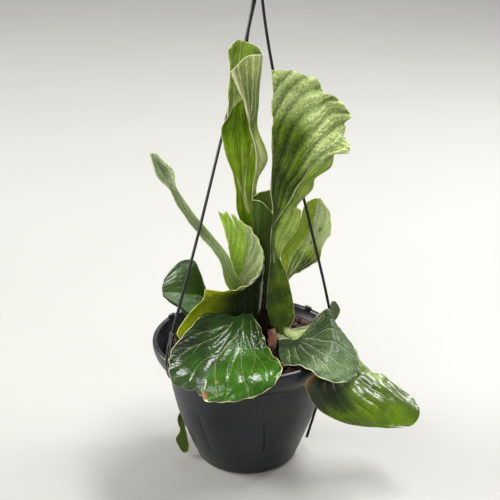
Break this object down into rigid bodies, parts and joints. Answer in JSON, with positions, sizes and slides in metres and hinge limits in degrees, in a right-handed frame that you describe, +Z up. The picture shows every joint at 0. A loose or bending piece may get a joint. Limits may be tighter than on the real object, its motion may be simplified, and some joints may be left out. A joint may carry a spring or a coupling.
{
  "type": "staghorn fern in a hanging pot",
  "caption": "Staghorn fern with broad waved fronds and glossy shield leaves, growing in a black plastic hanging pot with a three-strand hanger and hook.",
  "frame": {"origin": "centre of the pot's flat underside", "axes": "+Z up, towards the hanger's hook; the front, where the big shield leaf hangs over the rim, faces -Y; +X to the right of the front view"},
  "size_m": [0.282, 0.2272, 0.5682],
  "materials": {
    "pot_plastic": "satin, fine moulded grain",
    "hanger_plastic": "satin",
    "bark_mix": "coarse damp bark chips",
    "crown_fibre": "matted brown fibre",
    "dry_leaf": "papery, dry",
    "frond_fresh": "soft satin with pale bloom",
    "frond_dark": "satin",
    "frond_pale": "felted, silvery underside",
    "leaf_gloss": "glossy",
    "leaf_grey": "satin, grey-green"
  },
  "bodies": {
    "root": {"pot": "pot_plastic", "soil": "bark_mix", "crown": "crown_fibre", "old_leaf_scrap": "dry_leaf", "frond_tall": "frond_fresh", "frond_fan": "frond_fresh", "frond_middle": "frond_dark", "frond_cup": "frond_fresh", "frond_arm": "frond_pale", "frond_trough": "frond_pale", "leaf_left": "leaf_grey", "leaf_back_right": "leaf_grey", "leaf_low": "leaf_gloss", "leaf_hanging": "frond_dark", "shield_front": "leaf_gloss", "shield_right": "leaf_grey", "hanger_strand_left": "hanger_plastic", "hanger_strand_right": "hanger_plastic", "hanger_strand_back": "hanger_plastic", "hanger_hook": "hanger_plastic"}
  },
  "joints": []
}
